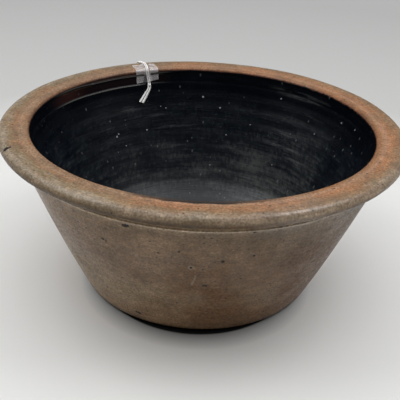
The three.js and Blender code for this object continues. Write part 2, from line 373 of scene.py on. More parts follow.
def make_knot():
    bm = bmesh.new()
    ring = bmesh.ops.create_circle(bm, radius=STRING_DIAMETER / 2, segments=KNOT_SIDES)["verts"]
    stand = Matrix.Translation((KNOT_RADIUS, 0, -KNOT_LENGTH / 2)) @ Matrix.Rotation(math.pi / 2, 4, "X")
    bmesh.ops.transform(bm, matrix=stand, verts=ring)
    bmesh.ops.spin(
        bm,
        geom=list(bm.verts) + list(bm.edges),
        cent=(0, 0, 0),
        axis=(0, 0, 1),
        dvec=(0, 0, KNOT_LENGTH / KNOT_STEPS),
        angle=2 * math.pi * KNOT_TURNS,
        steps=KNOT_STEPS,
    )
    bmesh.ops.holes_fill(bm, edges=bm.edges, sides=KNOT_SIDES)
    bmesh.ops.recalc_face_normals(bm, faces=bm.faces)
    lean = Matrix.Rotation(KNOT_LEAN[0], 4, "Y") @ Matrix.Rotation(KNOT_LEAN[1], 4, "X")
    place = beside_bowl @ Matrix.Translation(KNOT_PLACE) @ lean
    bmesh.ops.transform(bm, matrix=place, verts=bm.verts)
    return new_object("tag_knot", bm, cotton)


knot = make_knot()
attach(knot, "root")
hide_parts("tag_string_knot")
print("knot faces", len(knot.data.polygons))

# %% [markdown]
# ## The clay body
#
# The body is one turned piece. Its outline runs from the middle of the underside out over the
# foot ring, round the turned edge at the bottom, up the slightly swelling wall, over the fine
# ridge and the slanting underside of the rim, round the roll, over the nearly flat top and down
# into the mouth. First come its measures.

# %% The body's measures
RIM_WIDTH = 20.5 * MM
RIM_OVERHANG = 13.0 * MM
RIM_DEPTH = 14.8 * MM
RIM_FALL = 0.35 * MM
ROLL_RADIUS = 4.25 * MM
MOUTH_ROUND = 2.6 * MM
RIDGE_RADIUS = 0.9 * MM
BASE_RADIUS = 84.8 * MM
BASE_ROUND = 1.2 * MM
BELLY = 1.26 * MM
FOOT_HEIGHT = 2.8 * MM
FOOT_BEVEL = 5.3 * MM
FOOT_RING_WIDTH = 13.5 * MM
HOLLOW_DEPTH = 1.2 * MM
HOLLOW_SLOPE = 9.0 * MM
WALL_WIDTH = 9.6 * MM
THROAT_DEPTH = 12.1 * MM
FLOOR_HEIGHT = 10.0 * MM
CORNER_REACH = 32.0 * MM

base = Vector((BASE_RADIUS, FOOT_HEIGHT))
wall_top = Vector((RIM_RADIUS - RIM_OVERHANG, BOWL_HEIGHT - RIM_DEPTH))
roll_centre = Vector((RIM_RADIUS - ROLL_RADIUS, BOWL_HEIGHT - ROLL_RADIUS))
mouth_radius = RIM_RADIUS - RIM_WIDTH
mouth_centre = Vector((mouth_radius + MOUTH_ROUND, BOWL_HEIGHT - RIM_FALL - MOUTH_ROUND))
wall_slope = (wall_top.x - base.x) / (wall_top.y - base.y)
print("wall leans out by", round(math.degrees(math.atan(wall_slope)), 1), "degrees")

# %% [markdown]
# The parts of the outline follow from these measures: the swell of the wall is a parabola on its
# straight line, the turned edge and the curve from wall to floor are bends between two straight
# lines, and the underside of the rim is the tangent from the wall's top to the roll.

# %% The body's profile


def outer_wall(share):
    along = wall_top - base
    outwards = Vector((along.y, -along.x)).normalized()
    return base + along * share + outwards * (4 * share * (1 - share) * BELLY)


def bend(before, corner, after, reach, steps):
    start = corner + (before - corner).normalized() * reach
    end = corner + (after - corner).normalized() * reach
    shares = [i / steps for i in range(steps + 1)]
    return [start.lerp(corner, t).lerp(corner.lerp(end, t), t) for t in shares]


foot_radius = BASE_RADIUS - FOOT_BEVEL
ring_inside = foot_radius - FOOT_RING_WIDTH
to_roll = roll_centre - wall_top
underside_angle = math.atan2(to_roll.y, to_roll.x) - math.asin(ROLL_RADIUS / to_roll.length)
ridge_centre = wall_top - Vector((RIDGE_RADIUS / 2, 1.5 * RIDGE_RADIUS))
throat_height = BOWL_HEIGHT - THROAT_DEPTH
throat_end = Vector((wall_top.x + (throat_height - wall_top.y) * wall_slope - WALL_WIDTH, throat_height))
corner = Vector((throat_end.x - (throat_height - FLOOR_HEIGHT) * wall_slope, FLOOR_HEIGHT))
floor_edge = Vector((corner.x - CORNER_REACH, FLOOR_HEIGHT))

hollow = [Vector((0, HOLLOW_DEPTH)), Vector((ring_inside - HOLLOW_SLOPE, HOLLOW_DEPTH))]
underside = hollow + [Vector((ring_inside, 0))]
foot_edge = bend(Vector((foot_radius, 0)), base, outer_wall(0.2), BASE_ROUND, 4)
wall = [outer_wall(i / 12) for i in range(1, 12)]
ridge = arc(ridge_centre, RIDGE_RADIUS, -math.pi / 2, math.pi / 3, 6)
roll = arc(roll_centre, ROLL_RADIUS, underside_angle - math.pi / 2, math.pi / 2, 14)
mouth = arc(mouth_centre, MOUTH_ROUND, math.pi / 2, math.pi, 6)
inner_curve = bend(throat_end, corner, floor_edge, CORNER_REACH, 20)
inside = mouth[-1:] + [throat_end] + inner_curve + [Vector((0, FLOOR_HEIGHT))]
print("inside of the foot ring", round(ring_inside, 4), "mouth", round(mouth_radius, 4))

# %% [markdown]
# The clay's own inside surface lies just behind the glaze. The outline is cut into short pieces,
# finer where it shows, and spun in many steps. Each point keeps two numbers for the material. The
# zone counts the parts of the outline, from 0 at the foot to 5 at the glaze, and the colours
# follow it. The length along the outline is for the marks of a turning tool, which run round the
# bowl and so depend on that length alone.

# %% Cut the profile into rows
GLAZE_DEPTH = 1.0 * MM
BED_REACH = 12 * MM
LOWEST_ZONE = -1.0
HIGHEST_ZONE = 6.0


def cut(points, piece, start_zone, end_zone, start_length=0.0):
    """Rows along the points, at most one piece apart, with the zone rising evenly."""
    lengths = lengths_along(points)
    count = max(1, math.ceil(lengths[-1] / piece))
    rows = []
    for i in range(count):
        length = lengths[-1] * i / count
        values = {"zone": start_zone + (end_zone - start_zone) * i / count, "along": start_length + length}
        rows.append((point_at(points, lengths, length)[0], values))
    return rows, start_length + lengths[-1]


def clay_under_glaze():
    """The clay's surface below the mouth, sinking behind the glaze to the glaze's depth."""
    lengths = lengths_along(inside)
    moved = []
    for i in range(len(inside)):
        place, outwards = point_at(inside, lengths, min(lengths[i], lengths[-1] * 0.9999))
        moved.append(place - outwards * GLAZE_DEPTH * smooth(0, BED_REACH, lengths[i]))
    moved[-1].x = 0.0
    return moved


def body_rows():
    bed = clay_under_glaze()
    foot = [Vector((foot_radius, 0))]
    pieces = [
        (underside + foot, 6 * MM, LOWEST_ZONE, 0.0),
        (foot + foot_edge, 1.2 * MM, 0.0, 1.0),
        (foot_edge[-1:] + wall + ridge[:1], 1.7 * MM, 1.0, 2.0),
        (ridge + [wall_top], 0.35 * MM, 2.0, 2.3),
        ([wall_top] + roll[:1], 1.3 * MM, 2.3, 3.0),
        (roll + mouth[:1], 1.0 * MM, 3.0, 4.5),
        (mouth, 0.6 * MM, 4.5, 5.0),
        (bed, 7 * MM, 5.0, HIGHEST_ZONE),
    ]
    rows = []
    length = 0.0
    for points, piece, start_zone, end_zone in pieces:
        more, length = cut(points, piece, start_zone, end_zone, length)
        rows += more
    rows.append((bed[-1], {"zone": HIGHEST_ZONE, "along": length}))
    return rows


outline = body_rows()
print("points of the outline", len(outline))


# %% [markdown]
# No thrown bowl is perfectly round. A slow noise presses the skin toward the axis by a few tenths
# of a millimetre and lowers the rim by as little, never the other way, so that the bowl keeps its
# measured size. The clay and the glaze are moved by the same amounts and so stay together.

# %% Spin the body and make it a little uneven
SPIN_STEPS = 400
UNEVEN_SIZE = 45 * MM
UNEVEN_DEPTH = 0.4 * MM
UNEVEN_RIM = 0.35 * MM
RIM_DIP_STARTS = 70 * MM
RIM_DIP_FULL = 110 * MM
NEAR_AXIS = 10 * MM


def make_uneven(bm):
    for vert in bm.verts:
        away = Vector((vert.co.x, vert.co.y, 0))
        if vert.co.z > FOOT_HEIGHT and away.length > NEAR_AXIS:
            swell = noise.noise(vert.co / UNEVEN_SIZE) * 0.5 + 0.5
            dip = noise.noise(away / UNEVEN_SIZE + Vector((0, 0, 5))) * 0.5 + 0.5
            vert.co -= away.normalized() * UNEVEN_DEPTH * swell
            vert.co.z -= UNEVEN_RIM * dip * smooth(RIM_DIP_STARTS, RIM_DIP_FULL, vert.co.z)


body_bm = spun(outline, SPIN_STEPS)
make_uneven(body_bm)
print("body faces", len(body_bm.faces))

# %% [markdown]
# ## Salt-glazed stoneware
#
# The outside has no poured glaze. Salt thrown into the hot kiln left a thin clear skin with the
# dimples of orange peel. Under it the clay is taupe brown, and it flashed orange on the flat of the
# rim, where the fire was cleanest. Its colours are darker near the foot and under the rim, partly
# as painted shade, and paler on the foot's turned edge, the ridge and the lip, as painted highlights.
# A painted image could hold these colours, but a ramp over the zone keeps each on its part of
# the form and looks the same from all sides. There are two ramps, one for the side that the fire
# reached and one for the sheltered side.

# %% The clay's bands of colour
# In both ramps the dark stops from 0 to 0.9, at the foot, and at 3.0 and 3.16, under the rim, are partly
# painted shade; the pale stops at 1.03, 2.1 and 4.3 are painted highlights on edges.
FLASHED = [
    (0.0, "2a1f18"), (0.9, "33261c"), (1.03, "72553a"), (1.3, "5e3f20"), (1.6, "5c3e20"),
    (1.97, "64523d"), (2.1, "bbab9a"), (2.25, "8b775f"), (2.5, "836743"), (3.0, "533918"),
    (3.16, "5b401f"), (3.3, "97836c"), (3.45, "857361"), (3.6, "7c6248"), (3.8, "806246"),
    (4.1, "916543"), (4.2, "906749"), (4.3, "9b7458"), (4.5, "855d3b"), (4.85, "84593d"),
    (5.0, "30211a"),
]
SHELTERED = [
    (0.0, "2a1f18"), (0.9, "352a20"), (1.03, "977b5d"), (1.3, "897459"), (1.6, "7c6550"),
    (1.97, "8b7156"), (2.1, "c4ae8f"), (2.25, "8d7759"), (2.5, "6c583d"), (3.0, "4e3a20"),
    (3.16, "4f3a1f"), (3.3, "705d45"), (3.45, "8e7f6b"), (3.6, "887966"), (3.9, "79664c"),
    (4.15, "7d6046"), (4.3, "866b52"), (4.5, "81644a"), (4.85, "7c5941"), (5.0, "2b1f19"),
]

clay, tree, surface = new_material("salt_glazed_stoneware")
place = add(tree, "TexCoord").outputs["Object"]
zone = add(tree, "Attribute", attribute_name="zone").outputs["Fac"]
along = add(tree, "Attribute", attribute_name="along").outputs["Fac"]
split = add(tree, "SeparateXYZ", {0: place})
print("bands of colour", len(FLASHED), "and", len(SHELTERED))

# %% [markdown]
# The bands' edges are not ruled lines. A noise with 5 mm grains, stretched round the bowl, moves
# them up and down on the roll of the rim. It sets in above the rim's underside and calms down
# again toward the mouth.

# %% Let the bands drift on the roll


def drawn_round(tree, split, shrink, length):
    """Coordinates in which a pattern is stretched round the bowl, by as much as X and Y shrink."""
    x, y = (add(tree, "Math", {0: split.outputs[axis], 1: shrink}, operation="MULTIPLY") for axis in "XY")
    return add(tree, "CombineXYZ", {0: x, 1: y, 2: length})


drawn = drawn_round(tree, split, 0.3, along)
drift = add(tree, "TexNoise", {"Vector": drawn, "Scale": grain(5 * MM), "Detail": 5.0, "Roughness": 0.68})
drift = add(tree, "Math", {0: drift, 1: 0.5}, operation="SUBTRACT")
reach = add(tree, "MapRange", {"Value": zone, "From Min": 3.35, "From Max": 3.8, "To Max": 1.5})
calm = {"Value": zone, "From Min": 3.95, "From Max": 4.25, "To Min": 1.0, "To Max": 0.15}
calm = add(tree, "MapRange", calm)
for part in (reach, calm):
    drift = add(tree, "Math", {0: drift, 1: part}, operation="MULTIPLY")
drifted = add(tree, "Math", {0: drift, 1: zone}, operation="ADD")
band = add(tree, "MapRange", {"Value": drifted, "From Min": LOWEST_ZONE, "From Max": HIGHEST_ZONE})
ramps = []
for colours in (SHELTERED, FLASHED):
    stops = [((at - LOWEST_ZONE) / (HIGHEST_ZONE - LOWEST_ZONE), hex_value) for at, hex_value in colours]
    ramps.append(add(tree, "ValToRGB", {"Fac": band}, stops=stops))
print("ramps", len(ramps))

# %% [markdown]
# Which ramp shows is a matter of place and chance. The right side is the flashed one. Patches of
# about 30 mm of the other ramp break it up, less on the wall than on the rim.

# %% Mix the flashed and the sheltered side
SHELTERED_X = -100 * MM
FLASHED_X = 60 * MM
PATCH_REACH = 0.55

side = {"Value": split.outputs["X"], "From Min": SHELTERED_X, "From Max": FLASHED_X, "To Min": -0.2}
side = add(tree, "MapRange", side)
patches = add(tree, "TexNoise", {"Vector": place, "Scale": grain(30 * MM), "Detail": 5.0})
patches = {"Value": patches, "From Min": 0.38, "From Max": 0.62}
patches = add(tree, "MapRange", {**patches, "To Min": -PATCH_REACH, "To Max": PATCH_REACH})
evenness = add(tree, "MapRange", {"Value": zone, "From Min": 2.0, "From Max": 3.2, "To Min": 0.6})
flash = add(tree, "Math", {0: patches, 1: evenness, 2: side}, operation="MULTIPLY_ADD", use_clamp=True)
bands = add(tree, "Mix", {"Factor": flash, 6: ramps[0], 7: ramps[1]}, data_type="RGBA")
print("nodes for the bands", len(tree.nodes))

# %% [markdown]
# Over the bands lie finer things, and each makes a number near 1 that the colour's brightness is
# multiplied by. The salt skin is mottled in grains of 1.3 mm and blotches of 7 mm, and the
# throwing left faint lines round the bowl, about 2.4 mm apart. Some of the real grains are finer
# than that, but finer ones would not show in the render.

# %% Grain, blotches and turning lines
shades = []
for where, size, detail, roughness, strength in (
    (place, 1.3 * MM, 2.0, 0.5, 0.36),
    (place, 7 * MM, 3.0, 0.5, 0.18),
    (drawn_round(tree, split, 0.07, along), 2.4 * MM, 3.0, 0.7, 0.14),
):
    texture = {"Vector": where, "Scale": grain(size), "Detail": detail, "Roughness": roughness}
    ends = {"From Min": 0.3, "From Max": 0.7, "To Min": 1 - strength, "To Max": 1 + strength}
    shades.append(add(tree, "MapRange", {"Value": add(tree, "TexNoise", texture), **ends}))
turns = shades[-1]
print("shades of the skin", len(shades))

# %% [markdown]
# Iron in the clay burnt out as small dark specks, and grains of salt left pale ones. Both are the
# cells of a Voronoi texture: a speck lies in the middle of a cell, its size comes from the cell's
# chance colour, and about half of the cells stay empty. The iron's cells are 3.8 mm wide and the
# salt's 2.6 mm.

# %% Iron specks and salt grains
IRON_SPACING = 3.8 * MM
SALT_SPACING = 2.6 * MM


def scattered(tree, where, spacing, channel, rare, least, most):
    """Specks of chance sizes, one to a cell: how far inside a speck a point lies, below 0 outside."""
    cells = add(tree, "TexVoronoi", {"Vector": where, "Scale": grain(spacing)})
    chance = add(tree, "SeparateColor", {0: cells.outputs["Color"]}).outputs[channel]
    size = add(tree, "MapRange", {"Value": chance, "From Min": rare, "To Min": least, "To Max": most})
    return add(tree, "Math", {0: size, 1: cells}, operation="SUBTRACT")


iron = scattered(tree, place, IRON_SPACING, channel=0, rare=0.45, least=0.0, most=0.24)
iron = {"Value": iron, "From Min": -0.02, "From Max": 0.06, "To Min": 1.0, "To Max": 0.3}
iron = add(tree, "MapRange", iron)
salt = scattered(tree, place, SALT_SPACING, channel=1, rare=0.55, least=0.0, most=0.3)
salt = {"Value": salt, "From Min": -0.05, "From Max": 0.1, "To Min": 1.0, "To Max": 1.4}
salt = add(tree, "MapRange", salt)
print("specks of iron per 100 mm", round(0.1 / IRON_SPACING), "of salt", round(0.1 / SALT_SPACING))

# %% [markdown]
# Between the ridge and the roll, the underside of the rim is darkened in clouds of about 9 mm.

# %% Darker clouds under the rim
darker_under_rim = add(tree, "TexNoise", {"Vector": place, "Scale": grain(9 * MM), "Detail": 4.0})
darker_under_rim = add(tree, "MapRange", {"Value": darker_under_rim, "From Min": 0.5, "From Max": 0.62})
for clean_zone, sooty_zone in ((3.35, 3.05), (2.2, 2.6)):
    window = {"Value": zone, "From Min": clean_zone, "From Max": sooty_zone}
    part = add(tree, "MapRange", window, interpolation_type="SMOOTHSTEP")
    darker_under_rim = add(tree, "Math", {0: darker_under_rim, 1: part}, operation="MULTIPLY")
darker_under_rim = add(tree, "MapRange", {"Value": darker_under_rim, "To Min": 1.0, "To Max": 0.5})

brightness = shades[0]
for part in (shades[1], turns, iron, darker_under_rim, salt):
    brightness = add(tree, "Math", {0: brightness, 1: part}, operation="MULTIPLY")
mottled = add(tree, "HueSaturation", {"Value": brightness, "Color": bands})
print("clay nodes so far", len(tree.nodes))

# %% [markdown]
# The photographed side has pits where grit burst out in the kiln, a hole in the rim at the left,
# and a pale ring with a drip under it. Each is one or more round spots, given by azimuth in
# degrees and height and radius in millimetres, and is mixed in by the distance from its middle.

# %% Pits and pale spots on the wall
PITS = [
    (-160.9, 98.2, 1.4), (-160.3, 98.0, 1.3), (-161.5, 98.5, 0.9), (-151.7, 80.5, 1.0),
    (-175.0, 83.1, 0.8), (-178.4, 69.6, 0.9), (-155.7, 11.0, 1.3), (-154.6, 11.3, 1.0),
    (-146.2, 84.7, 0.8), (172.5, 75.7, 1.1), (163.7, 79.2, 0.9), (139.2, 95.3, 1.1),
    (165.5, 100.2, 1.0), (176.7, 52.8, 0.8), (-169.0, 80.0, 0.7), (177.6, 52.8, 0.7),
    (-143.5, 87.1, 0.7),
]
PALE_SPOTS = [
    (-178.4, 69.6, 2.4), (-179.7, 62.3, 0.7), (-179.8, 61.1, 0.7), (-179.7, 59.8, 0.8),
    (-179.5, 58.4, 0.8), (-179.2, 57.1, 0.8), (-179.0, 55.8, 0.9), (-178.8, 54.6, 1.0),
    (-178.7, 53.4, 1.1), (-162.0, 74.0, 1.2),
]
RIM_HOLE = [
    (Vector((-120.2, -64.0, 117.3)) * MM, 1.8 * MM),
    (Vector((-119.1, -62.8, 117.8)) * MM, 1.6 * MM),
    (Vector((-117.5, -61.2, 118.0)) * MM, 1.1 * MM),
]


def around(out, azimuth, height, radius):
    """A spot this far out, from its azimuth in degrees and its height and radius in millimetres."""
    angle = math.radians(azimuth)
    return Vector((out * math.sin(angle), out * math.cos(angle), height * MM)), radius * MM


def on_wall(azimuth, height, radius):
    """A spot on the outer wall."""
    share = (height * MM - base.y) / (wall_top.y - base.y)
    return around(outer_wall(share).x, azimuth, height, radius)


def spots(tree, places):
    """How far inside the nearest spot a point lies: 1 at its middle, 0 at its rim, less outside."""
    depth = None
    for centre, radius in places:
        gap = add(tree, "VectorMath", {0: place, 1: centre}, operation="DISTANCE")
        share = {"Value": gap, "From Max": radius, "To Min": 1.0, "To Max": 0.0}
        share = add(tree, "MapRange", share, clamp=False)
        depth = add(tree, "Math", {0: depth, 1: share}, operation="MAXIMUM") if depth else share
    return depth


pit = spots(tree, [on_wall(*spot) for spot in PITS] + RIM_HOLE)
pit = add(tree, "MapRange", {"Value": pit, "From Min": -0.1, "From Max": 0.15})
pale = spots(tree, [on_wall(*spot) for spot in PALE_SPOTS])
pale = add(tree, "MapRange", {"Value": pale, "From Max": 0.4, "To Max": 0.46})
print("pits", len(PITS) + len(RIM_HOLE), "pale spots", len(PALE_SPOTS))

# %% [markdown]
# At the front the dark glaze ran a little way over the lip. That run starts at a zone on the flat
# of the rim, and the drift makes its edge ragged. Then the colours go on in order: the pale
# spots, the run of glaze, and last the pits.

# %% The run over the lip, and the clay's colour
RUN_STARTS_Y = -106 * MM
RUN_FULL_Y = -121 * MM
RUN_ZONE = 4.54

near_front = {"Value": split.outputs["Y"], "From Min": RUN_STARTS_Y, "From Max": RUN_FULL_Y}
near_front = add(tree, "MapRange", near_front)
ragged = add(tree, "Math", {0: near_front, 1: 0.24, 2: drift}, operation="MULTIPLY_ADD")
over_edge = add(tree, "Math", {0: zone, 1: ragged}, operation="ADD")
over_edge = add(tree, "MapRange", {"Value": over_edge, "From Min": RUN_ZONE, "From Max": RUN_ZONE + 0.08})
over_edge = add(tree, "Math", {0: over_edge, 1: near_front}, operation="MULTIPLY")
skin = mottled
# The near-black of the pits and of the hole is painted shade, as their hollows are only a bump.
for share, hex_value in ((pale, "9a8c7b"), (over_edge, "15110f"), (pit, "0b0806")):
    skin = add(tree, "Mix", {"Factor": share, 6: skin, 7: colour(hex_value)}, data_type="RGBA")
print("nodes for the clay's colour", len(tree.nodes))

# %% [markdown]
# The skin's relief is orange peel about 2 mm across, the turning lines, and the pits. Its gloss
# is uneven, satin where the salt lies thick and dull where the clay is bare. The salt's clear
# glass is a coat over it, which pools on the roll at the front right and is missing in the pits.

# %% Relief and gloss of the clay
WET_PLACE = Vector((53, -124, 115)) * MM

peel = add(tree, "TexNoise", {"Vector": place, "Scale": grain(1.9 * MM), "Detail": 2.0})
relief = peel
for part, rise in ((pit, -2.0), (turns, 2.0)):
    relief = add(tree, "Math", {0: part, 1: rise, 2: relief}, operation="MULTIPLY_ADD")
bump = add(tree, "Bump", {"Height": relief, "Distance": 0.16 * MM, "Strength": 0.9})
gloss = {"Value": patches, "From Min": -PATCH_REACH, "From Max": PATCH_REACH}
gloss = add(tree, "MapRange", {**gloss, "To Min": 0.798, "To Max": 1.14})
gloss = add(tree, "Math", {0: gloss, 1: peel}, operation="MULTIPLY")
wet = add(tree, "VectorMath", {0: place, 1: WET_PLACE}, operation="DISTANCE")
wet = {"Value": wet, "From Min": 8 * MM, "From Max": 30 * MM, "To Min": 0.9, "To Max": 0.2}
wet = add(tree, "MapRange", wet)
unpitted = add(tree, "Math", {0: 1.0, 1: pit}, operation="SUBTRACT")
wet = add(tree, "Math", {0: wet, 1: unpitted}, operation="MULTIPLY")
feed(tree, surface, {"Base Color": skin, "Roughness": gloss, "Specular IOR Level": 0.25, "Normal": bump})
feed(tree, surface, {"Coat Weight": wet, "Coat Roughness": 0.14, "Coat Normal": bump})

body = new_object("bowl_body", body_bm, clay)
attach(body, "root")
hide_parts("stoneware_body")
print("clay nodes", len(tree.nodes))

# %% [markdown]
# ## The glaze
#
# The glaze is a thin coat of dark glass, a closed shell that lies in the clay's bed. Its profile
# is the face that is seen, cut finely near the mouth and coarser below, and a back that runs
# behind it. The points of the face keep how far down they lie, and the back has -1 there.

# %% The glaze's rows
GLAZE_LINE = math.radians(146)
GLAZE_STEPS = 400
BAND_TOP = 3.3 * MM
FINE_REACH = 18 * MM
FINE_PIECE = 0.45 * MM
COARSE_PIECE = 1.3 * MM
LAST_PIECE = 3 * MM
BACK_PIECES = 40

face = arc(mouth_centre, MOUTH_ROUND, GLAZE_LINE, math.pi, 6) + inside[1:]
face_lengths = lengths_along(face)
face_total = face_lengths[-1]
throat_length = face_lengths[7]
band_length = face_lengths[6] + (mouth_centre.y - (BOWL_HEIGHT - BAND_TOP))


def glaze_point(place, down):
    return place, {"down": down, "thin": 0.0, "crest": 0.0}


def glaze_rows():
    lengths = [0.0]
    while lengths[-1] < face_total - LAST_PIECE:
        lengths.append(lengths[-1] + (FINE_PIECE if lengths[-1] < FINE_REACH else COARSE_PIECE))
    rows = [glaze_point(point_at(face, face_lengths, length)[0], length) for length in lengths + [face_total]]
    rows[-1][0].x = 0.0
    back = []
    for i in range(BACK_PIECES):
        length = face_total * i / BACK_PIECES
        place, outwards = point_at(face, face_lengths, length)
        under = GLAZE_DEPTH * (0.3 + 0.5 * smooth(0, BED_REACH, length))
        back.append(glaze_point(place - outwards * under, -1.0))
    back.append(glaze_point(Vector((0, FLOOR_HEIGHT - GLAZE_DEPTH * 0.8)), -1.0))
    return back[::-1] + rows


glaze_bm = spun(glaze_rows(), GLAZE_STEPS)
print("glaze faces", len(glaze_bm.faces))

# %% [markdown]
# The glaze keeps the throwing rings: shallow hollows the potter's fingers pressed, with narrow
# crests between them. Near the mouth two sharper crests run on either side of a turned band,
# with an undercut below, and the glaze ends in an uneven line that hangs lower at the back left.
# Each point of the face is moved by a depth that depends on how far down it lies and on its
# azimuth. A displacement texture would do that too, but functions keep the crests narrow.

# %% The forms of the glaze's face
RING_SPACING = 11.0 * MM
RING_DEPTH = 0.22 * MM
BAND_HOLLOW = 0.4 * MM
UPPER_CREST = band_length - 0.2 * MM
LOWER_CREST = throat_length + 0.2 * MM
CREST_WIDTH = 0.9 * MM


def crest(length, middle, width):
    """1 on a crest, falling to 0 at its foot."""
    return 1 - smooth(0, width, abs(length - middle))


def in_band(length, edge):
    """1 in the turned band, falling to 0 over this edge at both its sides."""
    below_its_top = smooth(band_length, band_length + edge, length)
    return below_its_top * (1 - smooth(throat_length - edge, throat_length, length))


def left_of_string(azimuth):
    """1 to the left of the string, falling to 0 just before it."""
    return 1 - smooth(-29, -23, math.degrees(azimuth))


def back_left(azimuth):
    """1 where the turned band is sharp, at the back left, and small elsewhere."""
    degrees = math.degrees(azimuth)
    right = 0.14 * smooth(28, 40, degrees) * (1 - smooth(48, 60, degrees))
    return 0.05 + right + 0.95 * smooth(-78, -60, degrees) * (1 - smooth(-22, -8, degrees))


def edge_drop(azimuth):
    """How far below its highest line the glaze ends, at this azimuth."""
    degrees = math.degrees(azimuth)
    low = smooth(-62, -42, degrees) * (1 - smooth(-32, -8, degrees))
    ragged = smooth(20, 45, degrees) * (1 - smooth(85, 110, degrees))
    wander = noise.noise(Vector((math.cos(azimuth), math.sin(azimuth), 0)) * 6)
    flecks = noise.noise(Vector((math.cos(azimuth), math.sin(azimuth), 0.3)) * 40)
    return (1.9 * low + 0.5 + 0.35 * wander + (0.15 + 0.9 * ragged) * flecks) * MM


# %% [markdown]
# The depth at a point is the sum of these forms. At the very edge the glaze thins out to nothing,
# and below the throat come the undercut and the rings, which fade out on the floor. The whole
# face stands a tenth of a millimetre proud of the clay.

# %% How far the face sinks
FACE_RISE = 0.12 * MM
EDGE_LENGTH = 1.2 * MM
EDGE_DEPTH = 0.3 * MM
UNDERCUT = 0.55 * MM
UNDERCUT_FULL = throat_length + 7 * MM
UNDERCUT_EASES = throat_length + 10 * MM
UNDERCUT_GONE = throat_length + 50 * MM
RINGS_FADE = face_total - 60 * MM
RINGS_GONE = face_total - 25 * MM


def sink(length, azimuth):
    """How far the glaze's face lies behind the plain profile."""
    if length < EDGE_LENGTH:
        return EDGE_DEPTH * (1 - smooth(0, 0.9 * MM, length)) - FACE_RISE
    sharp = back_left(azimuth)
    depth = BAND_HOLLOW * in_band(length, 1 * MM) * (0.4 + 0.6 * sharp)
    depth -= 0.28 * MM * sharp * crest(length, UPPER_CREST, CREST_WIDTH)
    depth -= 0.32 * MM * sharp * left_of_string(azimuth) * crest(length, LOWER_CREST, 1.1 * MM)
    if length > throat_length:
        depth += UNDERCUT * smooth(throat_length, UNDERCUT_FULL, length)
        depth -= UNDERCUT * smooth(UNDERCUT_EASES, UNDERCUT_GONE, length)
        sway = 1.1 * MM * noise.noise(Vector((math.cos(azimuth), math.sin(azimuth), 0)) * 1.5)
        turn = (length - throat_length + sway) / RING_SPACING
        strength = 0.6 + 0.8 * noise.noise(Vector((turn * 0.8, azimuth * 0.7, 2.0)))
        fade = 1 - smooth(RINGS_FADE, RINGS_GONE, length)
        depth += RING_DEPTH * strength * fade * (0.5 - 0.5 * math.cos(2 * math.pi * turn))
    return depth - FACE_RISE


# %% [markdown]
# While the points are moved, two more numbers are kept for the material: where the glaze is thin
# and so turns brown, at its edge and in the band, and where a crest catches the light.

# %% Press the rings, the band and the crests into the glaze
EDGE_REACH = 14 * MM


def lower_edge(vert, length, azimuth):
    """Let the glaze's edge hang down by a varying length, and return the way out of its face."""
    drop = edge_drop(azimuth) * (1 - length / EDGE_REACH)
    place, normal = point_at(face, face_lengths, length + drop)
    aside = Vector((math.sin(azimuth), math.cos(azimuth), 0))
    vert.co = aside * place.x + Vector((0, 0, place.y))
    return aside * normal.x + Vector((0, 0, normal.y))


def shape_glaze(bm):
    down, thin, on_crest = (bm.verts.layers.float[name] for name in ("down", "thin", "crest"))
    bm.normal_update()
    for vert in bm.verts:
        length = vert[down]
        if length < 0:
            continue
        azimuth = math.atan2(vert.co.x, vert.co.y)
        outwards = vert.normal.copy()
        if length < EDGE_REACH:
            outwards = lower_edge(vert, length, azimuth)
        vert.co -= outwards * sink(length, azimuth)
        sharp = back_left(azimuth)
        rusty = 0.3 + 0.7 * (1 - smooth(-64, -50, math.degrees(azimuth)))
        vert[thin] = max(1 - smooth(0, 1.6 * MM, length), in_band(length, 1.5 * MM) * sharp * rusty)
        lower = crest(length, LOWER_CREST, 1.0 * MM) * left_of_string(azimuth)
        vert[on_crest] = max(crest(length, UPPER_CREST, CREST_WIDTH), lower) * sharp


shape_glaze(glaze_bm)
make_uneven(glaze_bm)
print("glaze face length", round(face_total, 4), "band at", round(band_length, 4))

# %% [markdown]
# ## Black iron glaze
#
# This is an iron glaze, near black with a blue cast where it is thick and greyer where it is
# thin. Brushed on while the wheel turned, it has fine streaks round the bowl, drawn by a noise
# that is stretched round and has 2.6 mm grains down the wall, and clouds of about 26 mm where
# more or less of it stayed.

# %% Streaks and clouds in the glaze
black_glaze, tree, surface = new_material("black_iron_glaze")
place = add(tree, "TexCoord").outputs["Object"]
down, thin, on_crest = (
    add(tree, "Attribute", attribute_name=name).outputs["Fac"] for name in ("down", "thin", "crest")
)
split = add(tree, "SeparateXYZ", {0: place})
height = split.outputs["Z"]
brushed = drawn_round(tree, split, 0.1, down)
streaks = {"Vector": brushed, "Scale": grain(2.6 * MM), "Detail": 5.0, "Roughness": 0.75}
streaks = add(tree, "TexNoise", streaks)
clouds = add(tree, "TexNoise", {"Vector": place, "Scale": grain(26 * MM), "Detail": 4.0})
cloud_ends = {"Value": clouds, "From Min": 0.3, "From Max": 0.7}
clouded = add(tree, "MapRange", {**cloud_ends, "To Min": 0.41, "To Max": 0.6})
print("nodes for the streaks", len(tree.nodes))

# %% [markdown]
# Other things make the streaks paler or darker: short dashes 2 mm wide, painted shade below the
# band's lower crest, the lower wall, which is paler, partly as a painted sheen of the overhead light,
# the floor, which is darker, and a painted sheen at the back right. All of them multiply the
# streaks, and a ramp turns the result into the glaze's dark colours.

# %% How dark the glaze is
SHEEN_PLACE = Vector((62, 72, 42)) * MM

dashes = add(tree, "Mapping", {"Vector": place, "Scale": (1.0, 0.35, 0.45)})
dashes = add(tree, "TexNoise", {"Vector": dashes, "Scale": grain(2 * MM), "Detail": 3.0, "Roughness": 0.65})
speckle = {"Value": dashes, "From Min": 0.3, "From Max": 0.7, "To Min": 0.7, "To Max": 1.32}
speckle = add(tree, "MapRange", speckle)
below_band = {"Value": down, "From Min": throat_length + 8 * MM, "From Max": throat_length + 20 * MM}
under_crest = add(tree, "MapRange", {**below_band, "To Min": 0.6})
